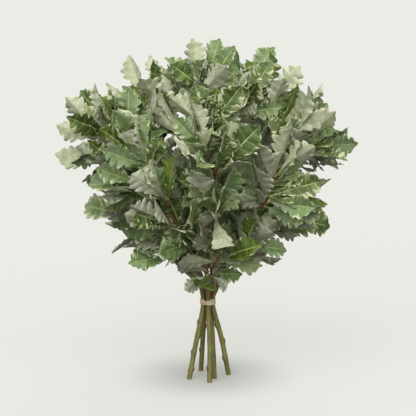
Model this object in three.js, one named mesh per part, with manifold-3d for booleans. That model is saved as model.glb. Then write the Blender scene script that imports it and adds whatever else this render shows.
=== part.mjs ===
// A tied bunch of variegated oak foliage. Five cut branches are bound low down by a
// rubber band, splay out below it into five feet, and spread above it into a round crown
// of leafy shoots. Millimetres, +Z up, the front of the bunch towards -Y, and the
// cut ends of the branches flat on z = 0.
import * as THREE from 'three';
import Module from 'manifold-3d';

const wasm = await Module();
wasm.setup();

// Every piece keeps this far from its neighbours.
const GAP = 0.3;

// Slivers finer than this, where a leaf stalk joins its twig, are smoothed away.
const FINEST = 0.03;

// Main stems.
const STEM_RADIUS = 4.5;
const STEM_TIP_RADIUS = 2.3;
const STEM_SIDES = 8;
const STEM_STEPS = 18;
const STEM_TAPER_FROM = 0.3;
const NODE_SWELL = 1.16;
const NODE_REACH = 6;

// The waist, where the rubber band holds the stems side by side in a ring.
const WAIST_Z = 138;
const WAIST_RING = 8.9;
const WAIST_HALF_RUN = 7;
const WAIST_STATIONS = [-14, -7, 0, 7, 14];
const BAND_TURNS = 3;
const BAND_TURN_HEIGHT = 3.8;
const BAND_CLEARANCE = 0.45;
const BAND_THICKNESS = 1.7;
const BAND_GROOVE = 0.45;
const BAND_SAMPLES = 32;

// Side twigs.
const TWIG_RADIUS = 2.1;
const TWIG_TIP_RADIUS = 1.3;
const TWIG_SIDES = 5;
const TWIG_STEPS = 3;
const TWIG_MIN_LENGTH = 45;
const TWIG_LEAN = 0.7;

// The crown is a flattened, top-heavy round envelope.
const CROWN_BOTTOM = 165;
const CROWN_HEIGHT = 453;
const CROWN_RADIUS = 268;
const CROWN_DEPTH = 0.74;

// Leaves. Stations run along the midrib; width is a share of the leaf's half width.
const LEAF_STALK_END = 0.14;
const STALK_HALF_WIDTH = 1.7;
const STALK_ROOT_DEPTH = 1.0;
const RIB_RISE = 0.3;
const RIB_DROP = 0.9;
const BLADE_STATIONS = [
  { t: 0.38, width: 0.74 },
  { t: 0.5, width: 0.58 },
  { t: 0.68, width: 1.0 },
  { t: 0.84, width: 0.6 },
];
const LEAF_SLENDERNESS = 0.48;
const LEAF_MAX_LENGTH = 108;
const GOLDEN_ANGLE = 2.39996;
const ATTEMPTS = 60;

const GREEN = 1;
const SILVER = -1;

const STEMS = [
  {
    name: 'stem_left',
    waistAngle: 203,
    below: [[-34, -30, 0], [-22, -18, 62]],
    above: [[-36, -58, 257], [-68, -92, 315], [-112, -104, 396], [-156, -84, 466]],
    nodes: [18, 48, 77, 101, 196],
  },
  {
    name: 'stem_back_left',
    waistAngle: 131,
    below: [[-13, 28, 0], [-10, 20, 52]],
    above: [[-54, 74, 280], [-84, 100, 360], [-104, 110, 440]],
    nodes: [42, 89, 190],
  },
  {
    name: 'stem_front',
    waistAngle: 275,
    below: [[3, -53, 0], [3.5, -32, 66]],
    above: [[-4, -62, 250], [4, -96, 340], [-4, -92, 430], [-8, -64, 500]],
    nodes: [24, 72, 186],
  },
  {
    name: 'stem_back_right',
    waistAngle: 59,
    below: [[12, -28, 0], [7.5, -1, 90]],
    above: [[48, 78, 290], [66, 106, 380], [56, 92, 480]],
    nodes: [40, 200],
  },
  {
    name: 'stem_right',
    waistAngle: 347,
    below: [[38, 0, 0], [25, 0, 68]],
    above: [[62, -52, 262], [110, -80, 360], [146, -70, 440]],
    nodes: [32, 64, 94, 192],
  },
];

// A leaf of a shoot: where its tip is, how wide it looks from the front, which side it
// shows, and how far along the twig it sits.
const leaf = (x, y, z, width, face, along = 1) => (
  { tip: new THREE.Vector3(x, y, z), width, face, along }
);

// Shoots over the front half of the crown, with the end of each twig.
const FRONT_SHOOTS = [
  { end: [-22, -50, 530], leaves: [
    leaf(-28, -24, 616, 34, SILVER), leaf(-76, -44, 582, 25, GREEN, 0.9),
    leaf(-52, -104, 518, 27, SILVER, 0.75)] },
  { end: [-2, -24, 548], leaves: [
    leaf(22, 0, 612, 36, GREEN, 0.9), leaf(20, -70, 574, 31, SILVER, 0.75)] },
  { end: [-108, -44, 508], leaves: [
    leaf(-138, -24, 586, 36, SILVER), leaf(-96, -16, 578, 22, GREEN, 0.9),
    leaf(-178, -50, 538, 26, SILVER, 0.85), leaf(-118, -110, 520, 27, GREEN, 0.7)] },
  { end: [-192, -50, 446], leaves: [
    leaf(-250, -36, 512, 36, SILVER), leaf(-196, -56, 522, 27, SILVER, 0.9),
    leaf(-264, -60, 466, 29, SILVER, 0.85)] },
  { end: [-170, -70, 408], leaves: [
    leaf(-268, -60, 414, 40, SILVER), leaf(-206, -116, 446, 38, GREEN, 0.8)] },
  { end: [-106, -124, 410], leaves: [
    leaf(-154, -130, 500, 50, SILVER), leaf(-178, -158, 434, 40, GREEN, 0.85),
    leaf(-96, -110, 496, 31, GREEN, 0.9)] },
  { end: [-2, -146, 432], leaves: [
    leaf(-58, -164, 490, 40, GREEN), leaf(-28, -146, 514, 24, SILVER, 0.9),
    leaf(-46, -192, 466, 27, SILVER, 0.7)] },
  { end: [2, -106, 464], leaves: [
    leaf(-24, -98, 542, 36, GREEN, 0.95), leaf(-66, -118, 518, 36, SILVER, 0.85),
    leaf(58, -116, 540, 50, GREEN), leaf(12, -60, 546, 30, SILVER, 0.8)] },
  { end: [14, -146, 398], leaves: [
    leaf(92, -164, 478, 54, GREEN), leaf(74, -192, 414, 25, SILVER, 0.85),
    leaf(36, -182, 466, 30, GREEN, 0.9)] },
  { end: [98, -54, 506], leaves: [
    leaf(66, -28, 578, 31, GREEN, 0.9), leaf(106, -16, 592, 22, GREEN),
    leaf(162, -38, 568, 40, SILVER, 0.95), leaf(132, -98, 548, 29, SILVER, 0.7)] },
  { end: [154, -54, 448], leaves: [
    leaf(162, -70, 526, 34, SILVER), leaf(210, -20, 500, 38, GREEN, 0.9)] },
  { end: [172, -60, 428], leaves: [
    leaf(222, -62, 490, 40, SILVER, 0.95), leaf(264, -48, 432, 40, GREEN)] },
  { end: [114, -126, 384], leaves: [
    leaf(182, -140, 438, 54, SILVER), leaf(142, -148, 474, 24, SILVER, 0.9),
    leaf(124, -104, 482, 34, GREEN, 0.8), leaf(78, -170, 446, 27, SILVER, 0.7)] },
  { end: [104, -126, 350], leaves: [
    leaf(198, -116, 376, 47, GREEN), leaf(184, -140, 332, 45, GREEN, 0.75),
    leaf(82, -186, 410, 29, SILVER, 0.6), leaf(168, -92, 298, 38, GREEN, 0.5)] },
  { end: [66, -88, 262], leaves: [
    leaf(110, -140, 288, 31, SILVER, 0.9), leaf(86, -152, 314, 32, GREEN, 0.8),
    leaf(140, -58, 242, 38, GREEN)] },
  { end: [-68, -136, 344], leaves: [
    leaf(-128, -166, 394, 47, SILVER), leaf(-54, -182, 426, 29, GREEN, 0.9),
    leaf(-96, -162, 420, 31, SILVER, 0.8)] },
  { end: [-118, -108, 372], leaves: [
    leaf(-208, -94, 364, 40, GREEN), leaf(-178, -140, 332, 29, GREEN, 0.8),
    leaf(-192, -124, 398, 31, GREEN, 0.9)] },
  { end: [-66, -118, 302], leaves: [
    leaf(-132, -156, 336, 34, SILVER), leaf(-152, -96, 288, 36, GREEN, 0.85),
    leaf(-100, -184, 362, 29, GREEN, 0.75)] },
  { end: [-71, -70, 250], leaves: [
    leaf(-128, -104, 280, 27, SILVER, 0.9), leaf(-138, -40, 214, 38, GREEN),
    leaf(-48, -142, 302, 28, GREEN, 0.75)] },
  { end: [-24, -104, 278], leaves: [
    leaf(-32, -182, 352, 34, GREEN), leaf(10, -166, 322, 38, SILVER, 0.85),
    leaf(-92, -138, 272, 29, GREEN, 0.7)] },
  { end: [18, -146, 334], leaves: [
    leaf(-30, -200, 402, 38, SILVER), leaf(42, -196, 410, 29, GREEN, 0.9),
    leaf(82, -196, 356, 29, SILVER, 0.75)] },
  { end: [20, -78, 236], leaves: [
    leaf(-24, -124, 288, 36, SILVER), leaf(88, -126, 280, 34, GREEN, 0.95),
    leaf(96, -92, 224, 32, SILVER, 0.85), leaf(30, -136, 298, 30, GREEN, 0.8),
    leaf(-52, -104, 228, 32, SILVER, 0.7)] },
  { end: [5, -42, 203], leaves: [
    leaf(-56, -68, 216, 34, SILVER, 0.95), leaf(62, -62, 202, 32, GREEN, 0.9),
    leaf(-42, -62, 172, 30, SILVER, 0.8), leaf(36, -68, 178, 30, SILVER, 0.7),
    leaf(6, -100, 246, 38, SILVER)] },
];

// Shoots round the back and sides, and some inside the front, in tiers. Angles are
// degrees about the bunch's axis from +X; reach is a share of the crown's envelope.
const TIERS = [
  { name: 'back', z: 245, reach: 0.6, from: 12, to: 168, count: 4, leaves: 5 },
  { name: 'back', z: 315, reach: 0.7, from: -6, to: 186, count: 5, leaves: 6 },
  { name: 'back', z: 392, reach: 0.72, from: 12, to: 168, count: 5, leaves: 6 },
  { name: 'back', z: 462, reach: 0.66, from: 0, to: 178, count: 5, leaves: 6 },
  { name: 'back', z: 520, reach: 0.45, from: 40, to: 140, count: 2, leaves: 6 },
  { name: 'inner', z: 272, reach: 0.5, from: 228, to: 312, count: 2, leaves: 6 },
  { name: 'inner', z: 345, reach: 0.46, from: 208, to: 332, count: 3, leaves: 6 },
  { name: 'inner', z: 425, reach: 0.42, from: 205, to: 335, count: 3, leaves: 6 },
  { name: 'inner', z: 495, reach: 0.4, from: 235, to: 305, count: 2, leaves: 5 },
];
const TIER_REACH_JITTER = 0.1;
const TIER_HEIGHT_JITTER = 16;
const EXTRA_LEAVES = 2;

const UP = new THREE.Vector3(0, 0, 1);
const FRONT = new THREE.Vector3(0, -1, 0);

// Repeatable random numbers in -1..1, a run of its own for each shoot and tier.
function randomRun(start) {
  let state = Math.imul(start + 1, 2654435761) >>> 0;
  return () => {
    state = (Math.imul(state, 1664525) + 1013904223) >>> 0;
    return state / 2147483648 - 1;
  };
}

const mix = (a, b, share) => a.clone().lerp(b, share);

// A vector's direction once its part along axis is taken away.
function across(vector, axis) {
  return vector.clone().addScaledVector(axis, -vector.dot(axis)).normalize();
}

// Closed solid over rings of equally many points, closed on a point at either end.
function loft(rings, start, end) {
  const sides = rings[0].length;
  const points = [...rings.flat(), start, end];
  const tail = points.length - 2;
  const tip = points.length - 1;
  const lastRing = (rings.length - 1) * sides;
  const faces = [];
  for (let j = 0; j < sides; j += 1) {
    const k = (j + 1) % sides;
    faces.push(tail, k, j, tip, lastRing + j, lastRing + k);
    // Neighbouring sides are cut along mirrored diagonals, so that the two walls of a thin
    // leaf, which share its margins, stay parallel and never cross.
    for (let i = 0; i < lastRing; i += sides) {
      const [a, b, c, d] = [i + j, i + k, i + sides + k, i + sides + j];
      faces.push(...(j % 2 ? [a, b, d, b, c, d] : [a, b, c, a, c, d]));
    }
  }
  return new wasm.Manifold(new wasm.Mesh({
    numProp: 3,
    vertProperties: new Float32Array(points.flatMap((point) => point.toArray())),
    triVerts: new Uint32Array(faces),
  }));
}

// Round ring of points about a centre, counter-clockwise about first x second.
function ring(centre, first, second, radius, sides) {
  return Array.from({ length: sides }, (_, j) => {
    const angle = (2 * Math.PI * j) / sides;
    return centre.clone()
      .addScaledVector(first, radius * Math.cos(angle))
      .addScaledVector(second, radius * Math.sin(angle));
  });
}

// A solid with its bounding box, for quick tests against its neighbours.
function bounded(solid) {
  return { solid, box: solid.boundingBox() };
}

function boxesNear(a, b) {
  return [0, 1, 2].every((axis) => (
    a.min[axis] - GAP < b.max[axis] && b.min[axis] - GAP < a.max[axis]));
}

function isClear(piece, others) {
  return others.every((other) => (
    !boxesNear(piece.box, other.box) || piece.solid.minGap(other.solid, GAP) >= GAP));
}

// ---- Main stems ------------------------------------------------------------------

function stemCurve({ waistAngle, below, above }) {
  const angle = THREE.MathUtils.degToRad(waistAngle);
  const x = WAIST_RING * Math.cos(angle);
  const y = WAIST_RING * Math.sin(angle);
  return new THREE.CatmullRomCurve3([
    ...below.map((point) => new THREE.Vector3(...point)),
    new THREE.Vector3(x, y, WAIST_Z - WAIST_HALF_RUN),
    new THREE.Vector3(x, y, WAIST_Z + WAIST_HALF_RUN),
    ...above.map((point) => new THREE.Vector3(...point)),
  ], false, 'centripetal');
}

function stemRadius(u) {
  const taper = Math.max(0, u - STEM_TAPER_FROM) / (1 - STEM_TAPER_FROM);
  return THREE.MathUtils.lerp(STEM_RADIUS, STEM_TIP_RADIUS, taper);
}

// Share of the stem's length at which it passes a height.
function shareAtHeight(curve, height) {
  let low = 0;
  let high = 1;
  while (high - low > 1e-4) {
    const middle = (low + high) / 2;
    if (curve.getPointAt(middle).z < height) low = middle;
    else high = middle;
  }
  return low;
}

function makeStem(spec) {
  const curve = stemCurve(spec);
  const reach = NODE_REACH / curve.getLength();
  const swellings = spec.nodes.map((height) => shareAtHeight(curve, height));
  const waist = WAIST_STATIONS.map((height) => shareAtHeight(curve, WAIST_Z + height));
  const steps = Array.from({ length: STEM_STEPS + 1 }, (_, i) => i / STEM_STEPS)
    .filter((u) => [...swellings, ...waist].every((other) => Math.abs(other - u) > 2 * reach));
  const stations = [...steps, ...waist].map((u) => ({ u, swell: 1 }));
  for (const node of swellings) {
    stations.push({ u: node - reach, swell: 1 });
    stations.push({ u: node, swell: NODE_SWELL });
    stations.push({ u: node + reach, swell: 1 });
  }
  stations.sort((a, b) => a.u - b.u);
  let first = new THREE.Vector3(1, 0, 0);
  const rings = stations.map(({ u, swell }) => {
    const axis = u === 0 ? UP : curve.getTangentAt(u);
    first = across(first, axis);
    const second = axis.clone().cross(first);
    return ring(curve.getPointAt(u), first, second, stemRadius(u) * swell, STEM_SIDES);
  });
  const apex = curve.getPointAt(1).addScaledVector(curve.getTangentAt(1), STEM_TIP_RADIUS);
  const solid = loft(rings, curve.getPointAt(0), apex);
  return { name: spec.name, curve, ...bounded(solid) };
}

// ---- Rubber band -----------------------------------------------------------------

// Outline of a loop pulled tight round the stems at the waist, offset outwards.
function tightLoop(offset) {
  const centres = STEMS.map(({ waistAngle }) => {
    const angle = THREE.MathUtils.degToRad(waistAngle);
    return new THREE.Vector3(Math.cos(angle), Math.sin(angle), 0).multiplyScalar(WAIST_RING);
  });
  return Array.from({ length: BAND_SAMPLES }, (_, i) => {
    const angle = (2 * Math.PI * i) / BAND_SAMPLES;
    const normal = new THREE.Vector3(Math.cos(angle), Math.sin(angle), 0);
    const touched = centres.reduce((a, b) => (b.dot(normal) > a.dot(normal) ? b : a));
    return touched.clone().addScaledVector(normal, STEM_RADIUS + offset);
  });
}

function makeBand() {
  const height = BAND_TURNS * BAND_TURN_HEIGHT;
  const bottom = WAIST_Z - height / 2;
  const outer = BAND_CLEARANCE + BAND_THICKNESS;
  const profile = [[BAND_CLEARANCE, bottom + height], [BAND_CLEARANCE, bottom]];
  for (let turn = 0; turn < BAND_TURNS; turn += 1) {
    const from = bottom + turn * BAND_TURN_HEIGHT;
    profile.push([outer - BAND_GROOVE, from]);
    profile.push([outer, from + BAND_TURN_HEIGHT * 0.3]);
    profile.push([outer, from + BAND_TURN_HEIGHT * 0.7]);
  }
  profile.push([outer - BAND_GROOVE, bottom + height]);
  const loops = profile.map(([offset, z]) => tightLoop(offset).map((point) => point.setZ(z)));
  const points = loops.flat();
  const faces = [];
  loops.forEach((_, i) => {
    const row = i * BAND_SAMPLES;
    const next = ((i + 1) % loops.length) * BAND_SAMPLES;
    for (let j = 0; j < BAND_SAMPLES; j += 1) {
      const k = (j + 1) % BAND_SAMPLES;
      faces.push(row + j, row + k, next + k, row + j, next + k, next + j);
    }
  });
  const solid = new wasm.Manifold(new wasm.Mesh({
    numProp: 3,
    vertProperties: new Float32Array(points.flatMap((point) => point.toArray())),
    triVerts: new Uint32Array(faces),
  }));
  return { name: 'rubber_band', ...bounded(solid) };
}

// ---- Side twigs ------------------------------------------------------------------

function crownRadius(z) {
  const share = THREE.MathUtils.clamp((z - CROWN_BOTTOM) / CROWN_HEIGHT, 0.001, 0.999);
  return CROWN_RADIUS * Math.sin(Math.PI * share ** 1.16) ** 0.85;
}

// Twig from the bark of a stem to its end, leaving the stem at a slant.
function twigCurve(stem, u, end) {
  const root = stem.curve.getPointAt(u);
  const along = stem.curve.getTangentAt(u);
  const outward = across(end.clone().sub(root), along);
  const heel = stemRadius(u) * NODE_SWELL + TWIG_RADIUS * TWIG_LEAN + GAP;
  const start = root.addScaledVector(outward, heel);
  const handle = start.distanceTo(end) / 3;
  const leave = outward.clone().addScaledVector(along, TWIG_LEAN).normalize();
  const arrive = end.clone().sub(start).normalize().addScaledVector(UP, 0.5).normalize();
  return new THREE.CubicBezierCurve3(
    start,
    start.clone().addScaledVector(leave, handle),
    end.clone().addScaledVector(arrive, -handle),
    end,
  );
}

function makeTwig(curve) {
  let first = across(UP.clone().add(FRONT), curve.getTangentAt(0));
  const rings = Array.from({ length: TWIG_STEPS + 1 }, (_, i) => {
    const u = i / TWIG_STEPS;
    const axis = curve.getTangentAt(u);
    first = across(first, axis);
    const second = axis.clone().cross(first);
    const radius = THREE.MathUtils.lerp(TWIG_RADIUS, TWIG_TIP_RADIUS, u);
    return ring(curve.getPointAt(u), first, second, radius, TWIG_SIDES);
  });
  const apex = curve.getPointAt(1).addScaledVector(curve.getTangentAt(1), TWIG_RADIUS);
  return bounded(loft(rings, curve.getPointAt(0), apex));
}

// Point on the axis of a twig, which runs straight between its steps.
function twigPoint(curve, along) {
  const step = Math.min(TWIG_STEPS - 1, Math.floor(along * TWIG_STEPS));
  const from = curve.getPointAt(step / TWIG_STEPS);
  return from.lerp(curve.getPointAt((step + 1) / TWIG_STEPS), along * TWIG_STEPS - step);
}

// Twigs prefer a short way to their end that forks off at about forty degrees.
function twigChoices(stems, end) {
  const choices = [];
  for (const stem of stems) {
    for (let u = 0.34; u < 0.98; u += 0.02) {
      const way = end.clone().sub(stem.curve.getPointAt(u));
      const fork = way.angleTo(stem.curve.getTangentAt(u));
      const cost = way.length() + 110 * Math.abs(fork - 0.7);
      if (way.length() > TWIG_MIN_LENGTH) choices.push({ stem, u, cost });
    }
  }
  return choices.sort((a, b) => a.cost - b.cost);
}

// Grows a twig to its wanted end, or as near to it as the other twigs allow.
function growTwig({ name, end: wantedEnd, random }, stems, twigs) {
  for (let attempt = 0; attempt < ATTEMPTS; attempt += 1) {
    const end = wantedEnd.clone().add(
      new THREE.Vector3(random(), random(), random()).multiplyScalar(attempt));
    for (const { stem, u } of twigChoices(stems, end)) {
      const curve = twigCurve(stem, u, end);
      const twig = makeTwig(curve);
      if (isClear(twig, [...stems, ...twigs])) return { name, curve, twig, random };
      twig.solid.delete();
    }
  }
  throw new Error(`${name} finds no way from any stem`);
}

// ---- Leaves ----------------------------------------------------------------------

// Rings of four points, left, top, right and under, from the end of the stalk to the
// tip. The halves fold up about the midrib and the blade twists along it.
function leafRings({ foot, tip, top, halfWidth, arch, fold, twist }) {
  const length = foot.distanceTo(tip);
  const control = mix(foot, tip, 0.5).addScaledVector(top, arch * length);
  const midrib = new THREE.QuadraticBezierCurve3(foot, control, tip);
  const stations = [
    { t: LEAF_STALK_END, half: STALK_HALF_WIDTH, lift: 0 },
    ...BLADE_STATIONS.map(({ t, width }) => ({ t, half: width * halfWidth, lift: fold })),
  ];
  return stations.map(({ t, half, lift }) => {
    const centre = midrib.getPoint(t);
    const axis = midrib.getTangent(t);
    const normal = across(top, axis).applyAxisAngle(axis, twist * (t - 0.3));
    const side = normal.clone().cross(axis);
    const out = half * Math.cos(lift);
    const raise = half * Math.sin(lift);
    const thick = 1 - 0.5 * t;
    return [
      centre.clone().addScaledVector(side, out).addScaledVector(normal, raise),
      centre.clone().addScaledVector(normal, RIB_RISE * thick),
      centre.clone().addScaledVector(side, -out).addScaledVector(normal, raise),
      centre.clone().addScaledVector(normal, -RIB_DROP * thick),
    ];
  });
}

function middle(points) {
  return points.reduce((sum, point) => sum.add(point), new THREE.Vector3())
    .multiplyScalar(1 / points.length);
}

// A leaf whose stalk is rooted just past the axis of its twig.
function makeLeaf(shape) {
  const rings = leafRings(shape);
  const joint = middle(rings[0]);
  const inward = shape.foot.clone().sub(joint).normalize();
  const root = shape.foot.clone().addScaledVector(inward, STALK_ROOT_DEPTH);
  return {
    whole: bounded(loft(rings, root, shape.tip)),
    blade: bounded(loft(rings, joint, shape.tip)),
    stalk: bounded(loft(rings.slice(0, 1), root, joint)),
  };
}

function fits(made, shoot, obstacles) {
  return isClear(made.blade, [shoot.twig])
    && isClear(made.blade, shoot.leaves.map((other) => other.whole))
    && isClear(made.stalk, shoot.leaves.map((other) => other.blade))
    && isClear(made.whole, obstacles);
}

// Grows a leaf as near to its wanted pose as the leaves already there allow: each try
// strays further from it in reach, in roll and in place.
function growLeaf(shoot, wanted, obstacles) {
  const { random } = shoot;
  const arch = 0.06 + 0.05 * random();
  const fold = 0.42 + 0.26 * random();
  const twist = 0.5 * random();
  const foot = twigPoint(shoot.curve, wanted.along);
  for (let attempt = 0; attempt < ATTEMPTS; attempt += 1) {
    const stray = attempt / ATTEMPTS;
    const tip = wanted.tip.clone().add(
      new THREE.Vector3(22 * random(), 55 * random(), 22 * random()).multiplyScalar(stray));
    const reach = tip.clone().sub(foot).clampLength(0, LEAF_MAX_LENGTH);
    tip.copy(foot).add(reach);
    const axis = reach.clone().normalize();
    const roll = wanted.roll + 1.2 * stray * random();
    const top = across(wanted.top, axis).applyAxisAngle(axis, roll);
    const { halfWidth } = wanted;
    const made = makeLeaf({ foot, tip, top, halfWidth, arch, fold, twist });
    if (fits(made, shoot, obstacles)) return made;
    [made.whole, made.blade, made.stalk].forEach(({ solid }) => solid.delete());
  }
  return null;
}

// A placed leaf turns about its midrib until it looks as wide as it should.
function placedLeaf(shoot, { tip, width, face, along }) {
  const length = tip.distanceTo(twigPoint(shoot.curve, along));
  const full = Math.max(width, LEAF_SLENDERNESS * length);
  const turn = Math.acos(Math.min(1, width / full));
  const roll = turn * Math.sign(shoot.random()) + 0.2 * shoot.random();
  const top = FRONT.clone().multiplyScalar(face);
  return { tip, along, top, roll, halfWidth: full / 2 };
}

// A leaf by rule: they turn round the twig by the golden angle, the last one on its end.
function freeLeaf(shoot, index, offset) {
  const { random } = shoot;
  const along = Math.max(0.35, 1 - 0.13 * index);
  const foot = twigPoint(shoot.curve, along);
  const outward = new THREE.Vector3(foot.x, foot.y / CROWN_DEPTH, 0).normalize();
  const axis = shoot.curve.getTangentAt(along).multiplyScalar(0.6)
    .addScaledVector(outward, 0.55).addScaledVector(UP, 0.3).normalize();
  const spread = index === 0 ? 0.15 : 0.85 + 0.2 * random();
  const lean = across(outward, axis).applyAxisAngle(axis, offset + index * GOLDEN_ANGLE);
  const way = axis.clone().multiplyScalar(Math.cos(spread))
    .addScaledVector(lean, Math.sin(spread));
  const length = 90 + 11 * random();
  const face = random() > 0 ? GREEN : SILVER;
  const top = outward.clone().addScaledVector(UP, 0.5).multiplyScalar(face);
  return {
    tip: foot.addScaledVector(way, length),
    along,
    top,
    roll: 0.6 * random(),
    halfWidth: (LEAF_SLENDERNESS * length) / 2,
  };
}

// ---- The bunch -------------------------------------------------------------------

function tierEnds({ z, reach, from, to, count }) {
  const random = randomRun(z);
  return Array.from({ length: count }, (_, i) => {
    const angle = THREE.MathUtils.degToRad(THREE.MathUtils.lerp(from, to, i / (count - 1)));
    const height = z + TIER_HEIGHT_JITTER * random();
    const radius = (reach + TIER_REACH_JITTER * random()) * crownRadius(height);
    return new THREE.Vector3(
      radius * Math.cos(angle), CROWN_DEPTH * radius * Math.sin(angle), height);
  });
}

function shootPlans() {
  const plans = FRONT_SHOOTS.map(({ end, leaves }) => (
    { kind: 'front', end: new THREE.Vector3(...end), leaves, free: EXTRA_LEAVES }));
  for (const tier of TIERS) {
    for (const end of tierEnds(tier)) {
      plans.push({ kind: tier.name, end, leaves: [], free: tier.leaves });
    }
  }
  const counts = {};
  for (const [i, plan] of plans.entries()) {
    plan.random = randomRun(i);
    counts[plan.kind] = (counts[plan.kind] ?? 0) + 1;
    plan.name = `${plan.kind}_shoot_${String(counts[plan.kind]).padStart(2, '0')}`;
  }
  return plans;
}

function growShoots(stems) {
  const plans = shootPlans();
  const shoots = [];
  for (const plan of plans) {
    const twigs = shoots.map((shoot) => shoot.twig);
    shoots.push({ ...growTwig(plan, stems, twigs), leaves: [] });
  }
  const grow = (shoot, wanted) => {
    const others = shoots.filter((other) => other !== shoot)
      .flatMap((other) => [other.twig, ...other.leaves.map((made) => made.whole)]);
    const made = growLeaf(shoot, wanted, [...stems, ...others]);
    if (made) shoot.leaves.push(made);
  };
  plans.forEach((plan, i) => (
    plan.leaves.forEach((wanted) => grow(shoots[i], placedLeaf(shoots[i], wanted)))));
  plans.forEach((plan, i) => {
    const offset = Math.PI * plan.random();
    for (let j = 0; j < plan.free; j += 1) {
      const index = plan.leaves.length ? plan.leaves.length + j : j;
      grow(shoots[i], freeLeaf(shoots[i], index, offset));
    }
  });
  return shoots;
}

function toGeometry(solid) {
  const { vertProperties, triVerts } = solid.getMesh();
  const geometry = new THREE.BufferGeometry();
  geometry.setAttribute('position', new THREE.BufferAttribute(vertProperties, 3));
  geometry.setIndex(new THREE.BufferAttribute(triVerts, 1));
  return geometry;
}

const BARK = { color: '#77803a', roughness: 0.75, metalness: 0 };
const FOLIAGE = { color: '#8d9d7c', roughness: 0.7, metalness: 0 };
const RUBBER = { color: '#e0c09a', roughness: 0.6, metalness: 0 };

function toMesh(name, solid, look) {
  const mesh = new THREE.Mesh(toGeometry(solid), new THREE.MeshStandardMaterial(look));
  mesh.name = name;
  return mesh;
}

const stems = STEMS.map(makeStem);
const band = makeBand();
const shoots = growShoots(stems);

const bunch = new THREE.Group();
for (const { name, solid } of stems) bunch.add(toMesh(name, solid, BARK));
bunch.add(toMesh(band.name, band.solid, RUBBER));
for (const { name, twig, leaves } of shoots) {
  const solids = [twig.solid, ...leaves.map((made) => made.whole.solid)];
  bunch.add(toMesh(name, wasm.Manifold.union(solids).simplify(FINEST), FOLIAGE));
}

// The origin is at the middle of the bunch's bounding box, on the surface it stands on.
const extent = new THREE.Box3().setFromObject(bunch, true);
const centre = extent.getCenter(new THREE.Vector3());
bunch.position.set(-centre.x, -centre.y, 0);

export default bunch;
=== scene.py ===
"""Looks of a tied bunch of variegated oak foliage: lobed leaves, bark and a rubber band."""

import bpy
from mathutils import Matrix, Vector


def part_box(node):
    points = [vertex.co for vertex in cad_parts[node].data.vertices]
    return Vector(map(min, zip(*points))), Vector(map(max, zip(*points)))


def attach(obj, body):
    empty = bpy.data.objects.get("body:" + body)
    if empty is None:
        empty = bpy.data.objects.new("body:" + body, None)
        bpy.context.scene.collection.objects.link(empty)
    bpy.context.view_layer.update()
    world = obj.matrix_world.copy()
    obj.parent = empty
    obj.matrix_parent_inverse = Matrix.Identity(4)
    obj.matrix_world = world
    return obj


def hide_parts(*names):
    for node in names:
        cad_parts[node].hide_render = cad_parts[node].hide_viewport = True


bl_info = {
    "name": "Tied Oak Foliage",
    "version": (1, 0, 0),
    "blender": (4, 5, 0),
    "location": "3D View > Sidebar > Oak Foliage",
    "description": "Dresses the packed bunch of oak foliage: leaves, twigs, stems and band",
    "category": "Object",
}

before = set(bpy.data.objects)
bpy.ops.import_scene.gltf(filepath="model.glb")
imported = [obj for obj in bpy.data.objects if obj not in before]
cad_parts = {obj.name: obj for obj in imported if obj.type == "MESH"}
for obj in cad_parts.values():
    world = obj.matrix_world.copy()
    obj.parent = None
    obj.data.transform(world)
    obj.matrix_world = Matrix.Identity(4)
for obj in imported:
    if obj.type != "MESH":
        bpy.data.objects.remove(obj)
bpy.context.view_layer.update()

import itertools
import math
import random

import bmesh
import bpy
from mathutils import Vector

MM = 0.001
MERGE = 0.002 * MM
UP = Vector((0, 0, 1))
FRONT = Vector((0, -1, 0))

STEM_NODES = sorted(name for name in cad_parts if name.startswith("stem"))
SHOOT_NODES = sorted(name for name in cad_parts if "shoot" in name)
BAND_NODE = "rubber_band"

# Where the rings of a leaf's solid lie along its midrib, from the stalk to the tip.
STATIONS = (0.14, 0.38, 0.50, 0.68, 0.84)
# The midrib lies this share of the way from a ring's top corner to its under corner.
RIB_SHARE = 0.25
# The midrib is a quadratic curve, so its first and third stations and its tip give its
# foot. These are their weights at the stations above.
FOOT_FROM_MIDDLE, FOOT_FROM_TIP, FOOT_WEIGHT = 0.4816, 0.1008, 0.6192
STEM_SIDES = 8
MOST_RINGS = 200

# The blade's grid: rows run out along the side veins, eight to a lobe, and the last
# half lobe is the leaf's tip. A notch of 1 is the foot of a sinus and 0 a lobe's end.
LOBES = 5.5
NOTCH = (1.0, 0.6, 0.24, 0.05, -0.05, 0.0, 0.14, 0.6)
ROWS = int(LOBES * len(NOTCH))
ACROSS = (-1.0, -0.82, -0.5, -0.14, 0.0, 0.14, 0.5, 0.82, 1.0)
ACROSS_SMALL = (-1.0, -0.5, 0.0, 0.5, 1.0)
BLADE_FROM = 0.1
BLADE_WIDTH = 1.08
BLADE_THICKNESS = 0.35 * MM
QUILT_HEIGHT = 0.55 * MM
# Half width along the blade, as shares of the leaf's own.
OUTLINE = (
    (0.0, 0.07), (0.08, 0.18), (0.2, 0.42), (0.35, 0.72), (0.5, 0.95), (0.6, 1.0),
    (0.7, 0.93), (0.8, 0.7), (0.88, 0.44), (0.94, 0.24), (1.0, 0.0),
)
# A leaf's traits, drawn by chance in this order, each between two bounds. Depth is how
# deep the sinuses cut, slant how far the side veins lean towards the tip.
TRAITS = {
    "depth": (0.22, 0.56),
    "ripple": (-0.25, 0.25),
    "wave": (0.05, 0.2),
    "wave_phase": (0, 2 * math.pi),
    "waves": (1.0, 2.2),
    "curl": (-0.10, 0.16),
    "cup": (-0.08, 0.14),
    "slant": (0.3, 0.6),
}
LOBE_SPREAD = (0.6, 1.3)
BRIGHT_SHARE = 0.1
BRIGHT_CREAM = 0.15
BLADE_MARKS = ("tone", "bright", "cream")
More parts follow.
